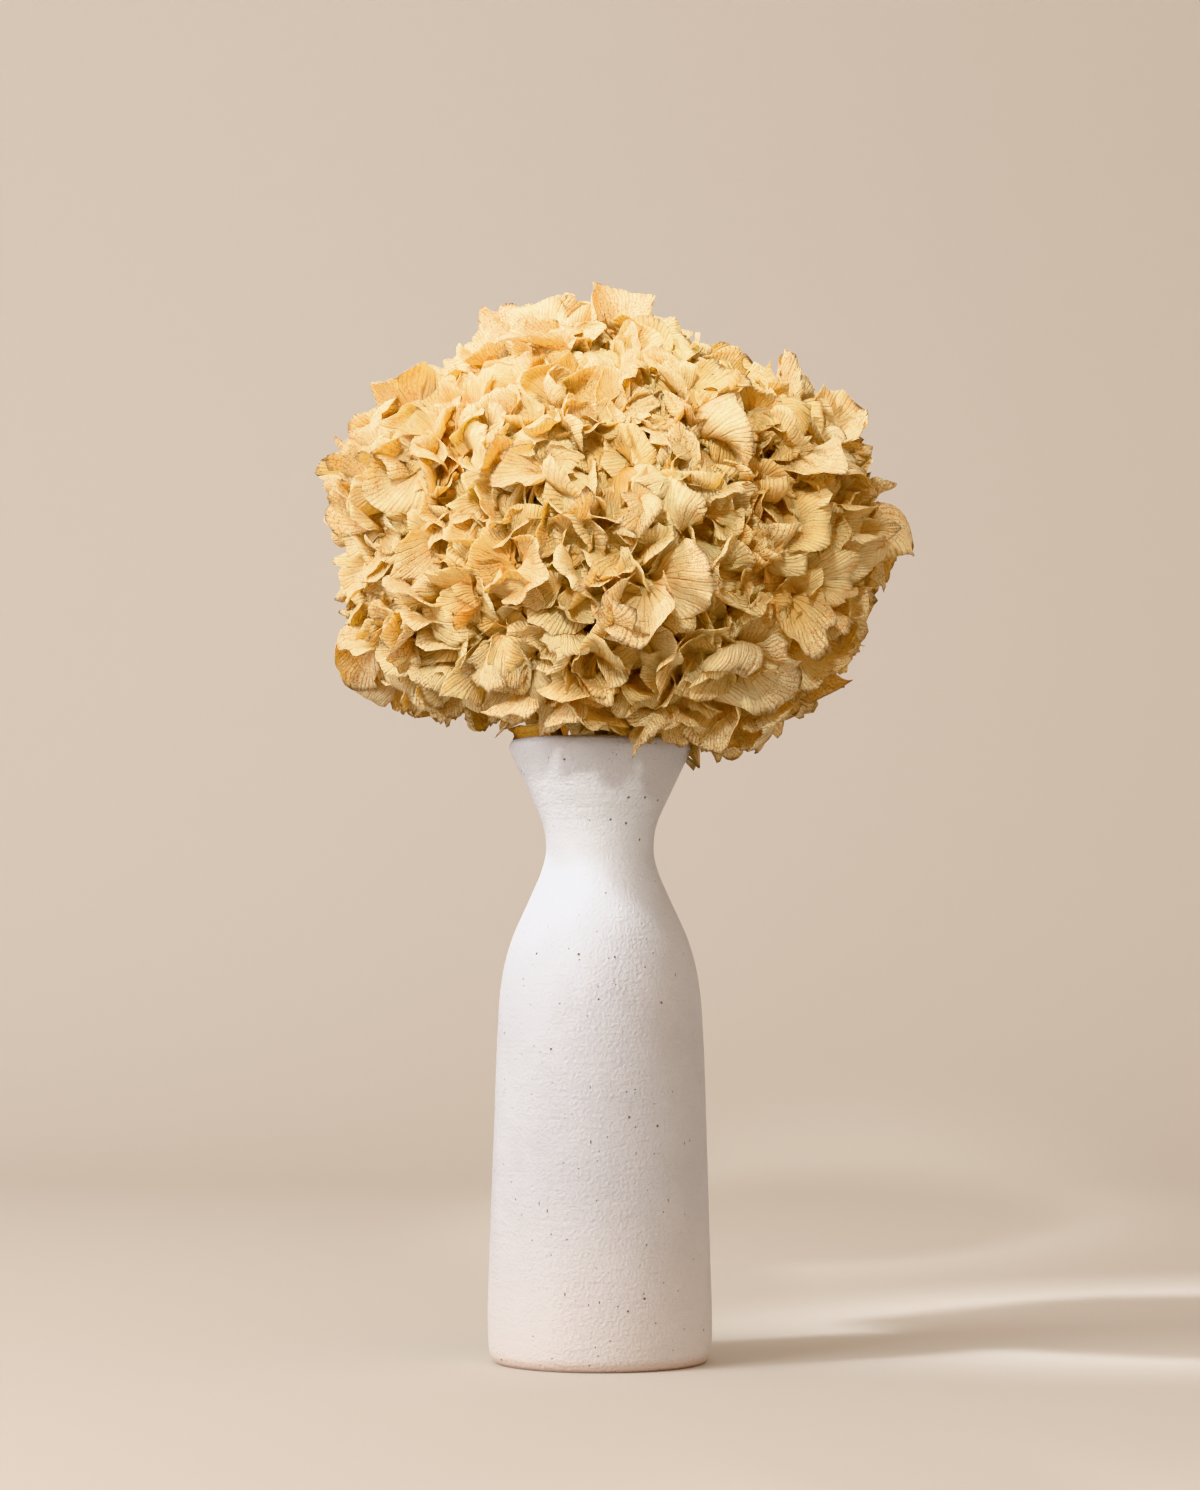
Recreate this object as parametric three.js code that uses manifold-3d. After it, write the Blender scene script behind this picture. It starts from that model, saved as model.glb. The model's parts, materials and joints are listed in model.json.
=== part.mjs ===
// Dried hydrangeas in a matte white bottle vase: a flared ceramic bottle, five woody stems that stand in it,
// and the five cream flower heads that they carry. The heads press against each other in one wide dome.
// Units are millimetres and +Z is up. The origin is the centre of the vase's flat foot, on the surface that it
// stands on, and the side to look at faces -Y, with +X to the right.
import * as THREE from "three";
import { mergeVertices } from "three/addons/utils/BufferGeometryUtils.js";
import Module from "manifold-3d";

const wasm = await Module();
wasm.setup();

// ---------------------------------------------------------------- driving dimensions

const VASE = { height: 240, wall: 4, floor: 6, lipRadius: 2.6, sides: 32 };

// Half the width of the vase against height, from the rounded foot to just under the lip.
const VASE_OUTLINE = [
  [39.5, 0], [41.6, 1.6], [42.9, 6], [43.2, 19], [42.3, 48], [41, 88], [39.9, 124],
  [38.3, 146], [34.4, 162], [27.4, 178], [22.6, 189.5], [21.1, 198], [22.6, 208], [29.2, 222.6], [35.7, 236.4],
];
const NECK_HEIGHT = 198;

// The dome that the petal tips of all five heads reach together. It is round above its widest level and
// boxy below it, where the petals hang level with the vase's lip.
const DOME = { centre: [3, 0, 312], across: 108, deep: 104, up: 101, down: 76, roundAbove: 2.2, boxyBelow: 3 };

// The middle of each head, and the way that its stem leans from the vase's axis: degrees anticlockwise from +X,
// and millimetres at the neck.
const HEADS = [
  { name: "top", centre: [2, 4, 352], way: 40, lean: 0 },
  { name: "left", centre: [-52, 0, 314], way: 180, lean: 9 },
  { name: "right", centre: [60, 0, 313], way: 0, lean: 9 },
  { name: "front", centre: [6, -52, 308], way: -88, lean: 9 },
  { name: "back", centre: [4, 52, 310], way: 88, lean: 9 },
];
const CORE_RADIUS = 33; // the tangle of inner branches in a head, which the florets stand out of
const HEAD_GAP = 0.4; // clear space between two heads where they press together
const GROOVE = { depth: 9, width: 13, turnAway: 0.6 }; // how florets sink and turn where two heads meet
const SEAM_ROOM = 7; // the least distance from a floret's middle to the seam of its head
const MOUTH_CLEARANCE = 0.8; // between the petals and the vase's lip
// The middle of each floret that droops past the vase's lip, at the front right, and the way that it faces.
const DROOPING = [{ middle: [58, -31, 247], axis: [0.25, -0.8, -0.45] }];
const UNDERSIDE_OPENING = 37; // radius about the vase's axis that the underside's florets keep clear

const FLORET = {
  spacing: 26.2, // between the middles of neighbouring florets
  depth: 11, // from the dome in to a floret's middle
  layer: 8, // how much deeper every second floret sits
  petal: 23, // from the floret's middle to a petal's tip
  thickness: 1,
  steepest: 0.87, // the most that a petal leans up, in radians
  stalkRadius: 1.4,
  sway: 0.5, // how far florets face away from straight out
  shift: 6, // how much nearer or deeper they sit
  overreach: 4, // how far a petal may reach out of the dome
  attempts: 60,
};
const PETALS = 4;

const STEM = { radius: 2.6, clearance: 0.35, sides: 6, steps: 8 };
const RAY = { count: 4, rootRadius: 1.5, tipRadius: 1, spread: 17, sides: 4, steps: 2 };

// ---------------------------------------------------------------- helpers

const vector = (p) => new THREE.Vector3(...p);

// A repeatable number from 0 to 1 for each use of each floret of each head.
function draw(head, floret, use) {
  const x = Math.sin(head * 91.7 + floret * 12.9898 + use * 78.233) * 43758.5453;
  return x - Math.floor(x);
}

function toSolid(geometry) {
  const bare = new THREE.BufferGeometry().setAttribute("position", geometry.getAttribute("position"));
  if (geometry.index) bare.setIndex(geometry.index);
  const merged = mergeVertices(bare, 1e-3);
  return new wasm.Manifold(
    new wasm.Mesh({
      numProp: 3,
      vertProperties: new Float32Array(merged.attributes.position.array),
      triVerts: new Uint32Array(merged.index.array),
    }),
  );
}

function toGeometry(solid) {
  const mesh = solid.getMesh();
  const geometry = new THREE.BufferGeometry();
  geometry.setAttribute("position", new THREE.BufferAttribute(new Float32Array(mesh.vertProperties), 3));
  geometry.setIndex(new THREE.BufferAttribute(new Uint32Array(mesh.triVerts), 1));
  return geometry;
}

// A tree of unions, so that each join works on small meshes.
function join(solids) {
  let level = solids;
  while (level.length > 1) {
    const next = [];
    for (let i = 0; i < level.length; i += 2) next.push(level[i + 1] ? level[i].add(level[i + 1]) : level[i]);
    level = next;
  }
  return level[0];
}

// The biggest body of a solid: scraps that a cut has set loose are dropped.
function largestBody(solid) {
  return solid.decompose().reduce((a, b) => (b.volume() > a.volume() ? b : a));
}

// Everything on the side of a plane that its normal points to.
function halfSpace(normal, point) {
  const size = 600;
  const box = new THREE.BoxGeometry(size, size, size).translate(0, 0, size / 2);
  box.applyQuaternion(new THREE.Quaternion().setFromUnitVectors(new THREE.Vector3(0, 0, 1), normal));
  return toSolid(box.translate(point.x, point.y, point.z));
}

// A round limb through points, with a radius at each, closed at both ends.
function limb(points, radii, sides, steps) {
  const curve = new THREE.CatmullRomCurve3(points);
  const frames = curve.computeFrenetFrames(steps, false);
  const position = [];
  const index = [];
  for (let i = 0; i <= steps; i++) {
    const t = i / steps;
    const centre = curve.getPointAt(t);
    const radius = THREE.MathUtils.lerp(radii[0], radii[1], t);
    for (let k = 0; k < sides; k++) {
      const angle = (2 * Math.PI * k) / sides;
      const p = centre.clone();
      p.addScaledVector(frames.normals[i], radius * Math.cos(angle));
      p.addScaledVector(frames.binormals[i], radius * Math.sin(angle));
      position.push(p.x, p.y, p.z);
    }
  }
  for (let i = 0; i < steps; i++) {
    for (let k = 0; k < sides; k++) {
      const [a, b] = [i * sides + k, i * sides + ((k + 1) % sides)];
      index.push(a, b, a + sides, b, b + sides, a + sides);
    }
  }
  const last = steps * sides;
  for (let k = 1; k < sides - 1; k++) {
    index.push(0, k + 1, k);
    index.push(last, last + k, last + k + 1);
  }
  const geometry = new THREE.BufferGeometry();
  geometry.setAttribute("position", new THREE.Float32BufferAttribute(position, 3));
  geometry.setIndex(index);
  return toSolid(geometry);
}

// ---------------------------------------------------------------- vase

// The wall is the outline set back by its own thickness, and the lip is a half round between the two.
function vaseGeometry() {
  const outline = new THREE.SplineCurve(VASE_OUTLINE.map(([r, z]) => new THREE.Vector2(r, z)));
  const outer = outline.getPoints(17);
  const inner = [];
  const innerSteps = 10;
  for (let i = innerSteps; i >= 0; i--) {
    const t = i / innerSteps;
    const back = outline.getTangent(t).rotateAround(new THREE.Vector2(), Math.PI / 2).multiplyScalar(VASE.wall);
    const p = outline.getPoint(t).add(back);
    if (p.y > VASE.floor + 4 && p.y < VASE.height - VASE.lipRadius) inner.push(p);
  }
  const brim = outer.at(-1);
  const lipCentre = new THREE.Vector2(brim.x - VASE.lipRadius, VASE.height - VASE.lipRadius);
  const lip = [0, 0.25, 0.5, 0.75].map((share) => {
    const angle = Math.PI * (0.02 + share);
    return lipCentre.clone().add(
      new THREE.Vector2(Math.cos(angle), Math.sin(angle)).multiplyScalar(VASE.lipRadius),
    );
  });
  const well = inner.at(-1).x - 5;
  const profile = [
    new THREE.Vector2(0, 0),
    ...outer,
    ...lip,
    ...inner,
    new THREE.Vector2(well, VASE.floor),
    new THREE.Vector2(0, VASE.floor),
  ];
  return new THREE.LatheGeometry(profile, VASE.sides).rotateX(Math.PI / 2);
}

// ---------------------------------------------------------------- stems

// A stem stands on the vase's floor, rises through the neck beside the others and leans out to its head. Its
// rays fan out from a node below the core. The same rule with extra radius and length gives the clear space.
function stemSolid(head, extra = 0) {
  const centre = vector(head.centre);
  const way = THREE.MathUtils.degToRad(head.way);
  const out = new THREE.Vector3(Math.cos(way), Math.sin(way), 0);
  const at = (share, z) => out.clone().multiplyScalar(head.lean * share).setZ(z);
  const mouth = at(1.6, VASE.height - 4);
  const rise = centre.clone().sub(mouth).normalize();
  const under = (distance) => centre.clone().addScaledVector(rise, -distance);
  const path = [
    at(1.9, VASE.floor + 0.3 - extra),
    at(1.35, VASE.height * 0.45),
    at(1, NECK_HEIGHT),
    mouth,
    under(CORE_RADIUS + 5),
    under(CORE_RADIUS - 14 - extra),
  ];
  const radius = STEM.radius + extra;
  const solids = [limb(path, [radius * 1.08, radius * 0.8], STEM.sides, STEM.steps)];

  const node = under(CORE_RADIUS + 9);
  const side = new THREE.Vector3().crossVectors(rise, new THREE.Vector3(0.3, 1, 0.2)).normalize();
  for (let k = 0; k < RAY.count; k++) {
    const spread = side.clone().applyAxisAngle(rise, (2 * Math.PI * (k + 0.5)) / RAY.count);
    const reachOut = (along, sideways) =>
      node.clone().addScaledVector(rise, along).addScaledVector(spread, sideways);
    const points = [reachOut(-3, 0), reachOut(5, RAY.spread * 0.4), reachOut(16 + extra, RAY.spread + extra)];
    solids.push(limb(points, [RAY.rootRadius + extra, RAY.tipRadius + extra], RAY.sides, RAY.steps));
  }
  return join(solids);
}

// ---------------------------------------------------------------- where the florets sit

// Points spread evenly over a sphere from the top down, as unit vectors.
function evenDirections(count) {
  const golden = Math.PI * (3 - Math.sqrt(5));
  return Array.from({ length: count }, (_, i) => {
    const z = 1 - (2 * i + 1) / count;
    const r = Math.sqrt(1 - z * z);
    return new THREE.Vector3(r * Math.cos(i * golden), r * Math.sin(i * golden), z);
  });
}

// The distance from the dome's centre to its surface in one direction.
function domeReach(direction) {
  const level = Math.hypot(direction.x / DOME.across, direction.y / DOME.deep);
  const upright = Math.abs(direction.z) / (direction.z > 0 ? DOME.up : DOME.down);
  const power = direction.z > 0 ? DOME.roundAbove : DOME.boxyBelow;
  return (level ** power + upright ** power) ** (-1 / power);
}

// How far a point lies outside the dome, as a length from the dome's centre.
function pastDome(point) {
  const arm = point.clone().sub(vector(DOME.centre));
  return arm.length() - domeReach(arm.clone().normalize());
}

// The plane half-way between the middles of two heads, where they press together.
function seam(head, other) {
  const [a, b] = [vector(head.centre), vector(other.centre)];
  return { normal: b.clone().sub(a).normalize(), point: a.add(b).multiplyScalar(0.5) };
}

// The seam of a head that is nearest to a point of it, and how far inside that seam the point lies.
function nearestSeam(head, point) {
  const seams = HEADS.filter((other) => other !== head).map((other) => {
    const { normal, point: on } = seam(head, other);
    return { normal, room: normal.dot(on.clone().sub(point)) };
  });
  return seams.reduce((a, b) => (b.room < a.room ? b : a));
}

function headAt(point) {
  const distance = (head) => vector(head.centre).distanceTo(point);
  return HEADS.reduce((a, b) => (distance(b) < distance(a) ? b : a));
}

// From the top of the dome down, a floret goes wherever the ones already there leave a full spacing. It faces
// half straight out of the dome and half away from the middle of its own head.
function floretSites() {
  const centre = vector(DOME.centre);
  const sites = DROOPING.map(({ middle, axis }) => {
    const seat = vector(middle);
    return { head: headAt(seat), seat, axis: vector(axis).normalize() };
  });
  for (const direction of evenDirections(4000)) {
    const layer = FLORET.depth + FLORET.layer * (sites.length % 2);
    const outer = centre.clone().addScaledVector(direction, domeReach(direction) - layer);
    const head = headAt(outer);
    const { normal, room } = nearestSeam(head, outer);
    const nearness = Math.exp(-((room / GROOVE.width) ** 2));
    const seat = outer.addScaledVector(direction, -GROOVE.depth * nearness);
    const overMouth = seat.z < DOME.centre[2] - 30 && Math.hypot(seat.x, seat.y) < UNDERSIDE_OPENING;
    const crowded = sites.some((site) => site.seat.distanceTo(seat) < FLORET.spacing);
    if (overMouth || crowded || room < SEAM_ROOM) continue;
    const fromHead = seat.clone().sub(vector(head.centre)).normalize();
    const aside = normal.multiplyScalar(-GROOVE.turnAway * nearness);
    const axis = direction.clone().add(fromHead).multiplyScalar(0.5).add(aside).normalize();
    sites.push({ head, seat, axis });
  }
  return sites;
}

// ---------------------------------------------------------------- florets

// One floret: four petals in a single thin sheet on a stalk with a side for each. A petal is folded along its
// midline and has a pointed tip and two broad shoulders, and a notch parts it from the next. The stalk runs from
// the middle of the sheet's lower face to well inside the core. Stray is how far the edge leaves the dome.
function openFloret({ head, seat, axis }, n, i) {
  const sway = new THREE.Vector3(draw(n, i, 3) - 0.5, draw(n, i, 4) - 0.5, draw(n, i, 5) - 0.5);
  const facing = axis.clone().addScaledVector(sway, FLORET.sway).normalize();
  const middle = seat.clone().addScaledVector(axis, FLORET.shift * (draw(n, i, 6) - 0.5));
  const root = vector(head.centre).lerp(middle, 0.35);
  const across = new THREE.Vector3().crossVectors(facing, new THREE.Vector3(0.31, 0.47, 0.83)).normalize();
  const over = new THREE.Vector3().crossVectors(facing, across);
  const place = (from, angle, out, up) =>
    from.clone()
      .addScaledVector(across, out * Math.cos(angle))
      .addScaledVector(over, out * Math.sin(angle))
      .addScaledVector(facing, up);

  const turn = draw(n, i, 1) * 2 * Math.PI;
  const cup = 0.25 + 0.6 * draw(n, i, 2);
  const quarter = (2 * Math.PI) / PETALS;
  const petalAngle = (k) => turn + quarter * (k + 0.12 * (draw(n, i, 20 + (k % PETALS)) - 0.5));
  const rim = [];
  const stalkTop = [];
  const stalkRoot = [];
  for (let k = 0; k < PETALS; k++) {
    const size = FLORET.petal * (0.8 + 0.35 * draw(n, i, 10 + k));
    const angle = petalAngle(k);
    const lean = Math.tan(THREE.MathUtils.clamp(cup + 0.6 * (draw(n, i, 30 + k) - 0.5), 0, FLORET.steepest));
    const curl = 0.5 * (draw(n, i, 40 + k) - 0.4);
    const twist = 0.24 * (draw(n, i, 50 + k) - 0.5);
    const fold = 0.16 * draw(n, i, 60 + k);
    const height = (out) => size * (out * lean - curl * out * out);
    const nextAngle = k + 1 < PETALS ? petalAngle(k + 1) : petalAngle(0) + 2 * Math.PI;
    const notchAngle = (angle + nextAngle) / 2;
    rim.push(place(middle, angle - 0.56, size * 0.8, height(0.8) + size * (fold - twist)));
    rim.push(place(middle, angle, size, height(1)));
    rim.push(place(middle, angle + 0.56, size * 0.8, height(0.8) + size * (fold + twist)));
    rim.push(place(middle, notchAngle, size * 0.25, size * 0.25 * lean));
    stalkTop.push(place(middle, notchAngle, FLORET.stalkRadius, -FLORET.thickness));
    stalkRoot.push(place(root, notchAngle, FLORET.stalkRadius * 1.3, 0));
  }
  const lowerRim = rim.map((p) => p.clone().addScaledVector(facing, -FLORET.thickness));
  const position = [...rim, ...lowerRim, middle, ...stalkTop, ...stalkRoot].flatMap((p) => p.toArray());
  const lower = rim.length;
  const centre = 2 * rim.length;
  const index = [];
  rim.forEach((_, a) => {
    const b = (a + 1) % rim.length;
    index.push(centre, a, b);
    index.push(b, a, a + lower, b, a + lower, b + lower);
  });
  for (let k = 0; k < PETALS; k++) {
    const previous = (k + PETALS - 1) % PETALS;
    const [right, tip, left, notch] = [0, 1, 2, 3].map((j) => lower + 4 * k + j);
    const lastNotch = lower + 4 * previous + 3;
    const [here, before] = [k, previous].map((j) => centre + 1 + j);
    index.push(before, right, lastNotch, before, tip, right, before, here, tip, here, left, tip, here, notch, left);
    const [hereRoot, beforeRoot] = [here + PETALS, before + PETALS];
    index.push(here, before, beforeRoot, here, beforeRoot, hereRoot);
    if (k > 1) index.push(centre + 1 + PETALS, hereRoot, beforeRoot);
  }
  const geometry = new THREE.BufferGeometry();
  geometry.setAttribute("position", new THREE.Float32BufferAttribute(position, 3));
  geometry.setIndex(index);
  const stray = rim.reduce((sum, p) => sum + Math.max(0, pastDome(p) - FLORET.overreach), 0);
  return { solid: toSolid(geometry), stray };
}

// Of several ways that a floret could open, the one that passes through the fewest petals already there and
// strays least out of the dome.
function clearestFloret(site, n, i, open) {
  const near = open.filter((other) => other.seat.distanceTo(site.seat) < 2.6 * FLORET.petal);
  let best = { score: Infinity };
  for (let attempt = 0; attempt < FLORET.attempts && best.score > 0; attempt++) {
    const { solid, stray } = openFloret(site, n, i + 1000 * attempt);
    const shared = near.map((other) => solid.intersect(other.solid).volume()).filter((v) => v > 0);
    const score = shared.length + shared.reduce((a, b) => a + b, 0) / 200 + stray / 8;
    if (score < best.score) best = { score, solid };
  }
  return { seat: site.seat, solid: best.solid };
}

// ---------------------------------------------------------------- heads

// The core and all its florets in one body, cut back from its neighbours, the stems and the vase's mouth.
function headSolid(head, n, sites, clearances) {
  const core = new THREE.IcosahedronGeometry(CORE_RADIUS, 2).translate(...head.centre);
  const own = sites.filter((site) => site.head === head);
  const open = [];
  own.forEach((site, i) => open.push(clearestFloret(site, n, i, open)));
  let bloom = join([toSolid(core), ...open.map((floret) => floret.solid)]);
  for (const other of HEADS) {
    if (other === head) continue;
    const { normal, point } = seam(head, other);
    bloom = bloom.subtract(halfSpace(normal, point.addScaledVector(normal, -HEAD_GAP / 2)));
  }
  for (const clear of clearances) bloom = bloom.subtract(clear);
  return largestBody(bloom);
}

// ---------------------------------------------------------------- assembly

const MATERIALS = {
  ceramic: new THREE.MeshStandardMaterial({ color: 0xe9e4df, roughness: 0.75, metalness: 0 }),
  petal: new THREE.MeshStandardMaterial({ color: 0xe8c78e, roughness: 0.85, metalness: 0 }),
  stem: new THREE.MeshStandardMaterial({ color: 0x8a6238, roughness: 0.9, metalness: 0 }),
};

const arrangement = new THREE.Group();

function addPart(name, geometry, material) {
  const mesh = new THREE.Mesh(geometry, material);
  mesh.name = name;
  arrangement.add(mesh);
}

addPart("vase", toGeometry(toSolid(vaseGeometry())), MATERIALS.ceramic);

const lipRadius = VASE_OUTLINE.at(-1)[0];
const mouthClear = toSolid(
  new THREE.CylinderGeometry(lipRadius + 1.5, lipRadius + 1.5, 60, 24)
    .rotateX(Math.PI / 2)
    .translate(0, 0, VASE.height + MOUTH_CLEARANCE - 30),
);
const clearances = [mouthClear, ...HEADS.map((head) => stemSolid(head, STEM.clearance))];
const sites = floretSites();
HEADS.forEach((head, n) => {
  addPart(`stem_${head.name}`, toGeometry(stemSolid(head)), MATERIALS.stem);
  addPart(`head_${head.name}`, toGeometry(headSolid(head, n, sites, clearances)), MATERIALS.petal);
});

export default arrangement;
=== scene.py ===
# Dried hydrangeas in a matte white bottle vase, dressed for a portrait in soft light from the upper left.
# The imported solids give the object's place and size. Blender's lengths are in metres. The sizes named here
# are in millimetres, and MM turns them to metres. The vase's axis is the Z axis, and its front faces -Y.
import json
import math
import random

import bpy
import numpy as np
from mathutils import Matrix, Vector

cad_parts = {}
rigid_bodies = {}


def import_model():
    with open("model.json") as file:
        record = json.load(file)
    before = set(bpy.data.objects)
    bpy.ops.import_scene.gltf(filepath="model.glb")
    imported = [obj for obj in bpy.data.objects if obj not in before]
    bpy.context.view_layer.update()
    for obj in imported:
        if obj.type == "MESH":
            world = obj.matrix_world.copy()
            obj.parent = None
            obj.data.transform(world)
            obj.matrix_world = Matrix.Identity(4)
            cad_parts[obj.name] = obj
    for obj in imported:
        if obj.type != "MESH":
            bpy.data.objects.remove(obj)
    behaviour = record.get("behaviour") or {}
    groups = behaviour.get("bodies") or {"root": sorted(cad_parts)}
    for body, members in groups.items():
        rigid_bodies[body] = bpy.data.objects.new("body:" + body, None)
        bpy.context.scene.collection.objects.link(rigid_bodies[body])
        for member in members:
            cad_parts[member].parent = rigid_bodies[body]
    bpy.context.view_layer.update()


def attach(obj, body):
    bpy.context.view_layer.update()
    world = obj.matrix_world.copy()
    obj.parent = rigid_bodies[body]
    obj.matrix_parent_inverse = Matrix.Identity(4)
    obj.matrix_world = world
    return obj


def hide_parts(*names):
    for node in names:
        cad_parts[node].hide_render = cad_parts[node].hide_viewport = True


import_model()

MM = 0.001
SEED = 7

# -------- sizes

VASE_HEIGHT = 240
VASE_WALL = 4
VASE_FLOOR = 6
LIP_RADIUS = 2.6
NECK_HEIGHT = 198
# Half the width of the vase against height, from the rounded foot to just under the lip.
VASE_OUTLINE = [
    (39.5, 0), (41.6, 1.6), (42.9, 6), (43.2, 19), (42.3, 48), (41, 88), (39.9, 124), (38.3, 146),
    (34.4, 162), (27.4, 178), (22.6, 189.5), (21.1, 198), (22.6, 208), (29.2, 222.6), (35.7, 236.4),
]
VASE_SIDES = 144
OUTLINE_STEPS = 130
LIP_STEPS = 10
WELL_CORNER = 5  # the radius inside the vase where its wall meets its floor
WELL_FLAT = 8  # how far in from the wall the floor gets level
FOOT_RING = 20  # the radius of a ring of points in the flat of the foot

# The dome that the petals of all the heads reach together: round above its widest level, boxy below it.
DOME_CENTRE = Vector((3, 0, 312))
DOME_ACROSS = 108
DOME_DEEP = 104
DOME_UP = 101
DOME_DOWN = 76
ROUND_ABOVE = 2.2
BOXY_BELOW = 3

# How many millimetres the mass of petals stands out of that dome or falls short of it, seen from the front,
# at angles in degrees round its middle that start on the right and rise over the top.
SWELL = {
    0: 6, 12: 3, 24: -4, 36: 4, 48: -8, 60: -9, 72: -6, 84: -3, 108: -1, 120: -6, 132: -4, 144: -1,
    156: 3, 168: 3, 180: -2, 192: -3, 204: -1, 216: -5, 228: -11, 240: -15, 252: -6, 264: 0, 300: 1,
    312: -4, 324: -12, 336: -6, 348: -1,
}

# The middle of each head, and the way in degrees and the length at the neck that its stem leans.
HEADS = {
    "top": {"centre": Vector((2, 4, 352)), "way": 40, "lean": 0},
    "left": {"centre": Vector((-52, 0, 314)), "way": 180, "lean": 9},
    "right": {"centre": Vector((60, 0, 313)), "way": 0, "lean": 9},
    "front": {"centre": Vector((6, -52, 308)), "way": -88, "lean": 9},
    "back": {"centre": Vector((4, 52, 310)), "way": 88, "lean": 9},
}
# Petals that would reach into the vase's mouth, this near to its axis, lie on its lip or hang outside it.
RIM_REACH = 39
RIM_GAP = 1  # how far above the lip they would lie
RIM_LIFT = 0.94  # the share of the way up to there that they are lifted
# Florets sink in along the seam between two heads, and none is set nearer to it than SEAM_CLEAR.
GROOVE_DEPTH = 9
GROOVE_WIDTH = 13
SEAM_CLEAR = 3

# The florets that droop past the vase's lip at the front right, and the way that they face.
DROOPING = [
    {"middle": Vector((58, -31, 247)), "axis": Vector((0.25, -0.8, -0.45))},
    {"middle": Vector((47, -40, 253)), "axis": Vector((0.0, -0.9, -0.35))},
]
DROOPING_SIZE = 1.1
# The way to the key light, from the upper left. Petals on that side of the heads are painted paler, a painted
# light, and those turned from it deeper gold, a painted shade.
KEY_LIGHT_WAY = Vector((-0.65, -0.05, 0.75)).normalized()
SHADE_AWAY_FROM_LIGHT = 5  # how much deeper a petal side-on to that way is painted, a painted shade, and twice that on the far side

# How many times its lean at the neck a stem stands out from the axis, and at what height, up to the mouth.
STEM_PLACES = (
    (1.9, VASE_FLOOR + 0.3), (1.35, VASE_HEIGHT * 0.45), (1, NECK_HEIGHT), (1.6, VASE_HEIGHT - 4),
)
STEM_STRAIGHT = 38  # how far below a head's middle its stem has turned towards it
STEM_TOP = 22  # how far below a head's middle its stem divides
STEM_RADIUS = 2.6
STEM_WOBBLE = 0.12
STEM_SIDES, STALK_SIDES = 12, 5
STEM_STEPS, RAY_STEPS, STALK_STEPS = 40, 8, 5
# The radius that a ray and a stalk start with, and how much of it they lose towards their end.
RAY_RADIUS, RAY_TAPER = 1.35, 0.6
STALK_RADIUS, STALK_TAPER = 0.65, 0.25
RAY_APART = 34  # a ray grows towards each floret that is this far from those that have one
RAY_SHARE = 0.55  # how much of the way there it goes

SEPAL_LENGTH = 19
SEPAL_LENGTHS = (0.75, 1.28)  # the least and the most of that
SEPAL_THICKNESS = 0.12
SEPAL_OVERLAP = 0.5  # how far every other sepal of a floret lies above the next
BUD_RADIUS = 1.1
BUD_HEIGHT = 0.5
# Fine florets show on the outside of the heads, and plainer ones fill the inside. Each grade has so many
# kinds of floret, and so many faces across and along a sepal.
FINE = {"name": "outer", "kinds": 24, "across": 20, "along": 8}
PLAIN = {"name": "inner", "kinds": 12, "across": 12, "along": 5}
CRINKLE_SIZE = 9  # how wide and how high the crinkles are that run through all the petals
CRINKLE_HEIGHT = 5
PROUD = 6  # how far a petal may stand out of the dome before it is bent back
BENT_BACK = 0.6  # the share of the rest by which it is bent back

# Florets sit in layers below the dome: their depth, how close together they are, and their size.
LAYERS = [
    {"depth": 18, "spacing": 16.5, "size": 1.0, "grade": FINE},
    {"depth": 24, "spacing": 14.5, "size": 0.95, "grade": PLAIN},
    {"depth": 35, "spacing": 20, "size": 0.95, "grade": PLAIN},
]
TRIED_WAYS = 9000  # how many places over the dome are tried in each layer
FLORET_SIZES = (0.8, 1.26)  # the least and the most of its layer's size
SWAY = 0.34  # how far the way that a floret faces strays
# The underside is open round the stems, this far out from the axis and this far below the dome's middle.
OPEN_REACH = 30
OPEN_BELOW = 30
# The least and the most that a floret stands out of its layer. One that draws more than BOLD_ABOVE stands
# out by BOLD_MORE besides.
STAND = (-4, 1)
BOLD_ABOVE = 0.3
BOLD_MORE = 4

# In the map for baking, how much of its square a petal's side fills, and how far round it its cut edge lies.
SQUARE_FILL = 0.86
EDGE_BEYOND = 1.08

# -------- small helpers


def linear(hex_colour):
    """An sRGB hex colour as linear red, green, blue and 1."""
    parts = [int(hex_colour[i : i + 2], 16) / 255 for i in (1, 3, 5)]
    return tuple(c / 12.92 if c <= 0.04045 else ((c + 0.055) / 1.055) ** 2.4 for c in parts) + (1.0,)


def add_node(tree, kind, settings=None, inputs=None, stops=()):
    """One node with its settings, its inputs by name or number set to a value or linked to a socket, and for
    a colour ramp the place and colour of each stop."""
    node = tree.nodes.new(kind)
    for name, value in (settings or {}).items():
        setattr(node, name, value)
    for name, value in (inputs or {}).items():
        if isinstance(value, bpy.types.NodeSocket):
            tree.links.new(value, node.inputs[name])
        else:
            node.inputs[name].default_value = value
    for k, (position, colour) in enumerate(stops):
        # The first two stops are the ends, which a new ramp already has.
        placed = node.color_ramp.elements
        stop = placed[k] if k < 2 else placed.new(position)
        stop.position = position
        stop.color = linear(colour)
    return node


def new_material(name):
    material = bpy.data.materials.new(name)
    material.use_nodes = True
    material.node_tree.nodes.clear()
    return material, material.node_tree


def in_scene(name, data):
    """A new object of the given data, in the scene."""
    made = bpy.data.objects.new(name, data)
    bpy.context.scene.collection.objects.link(made)
    return made


def mesh_object(name, vertices, faces):
    mesh = bpy.data.meshes.new(name)
    mesh.from_pydata([tuple(v) for v in vertices], [], faces)
    mesh.update()
    mesh.shade_smooth()
    return in_scene(name, mesh)


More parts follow.
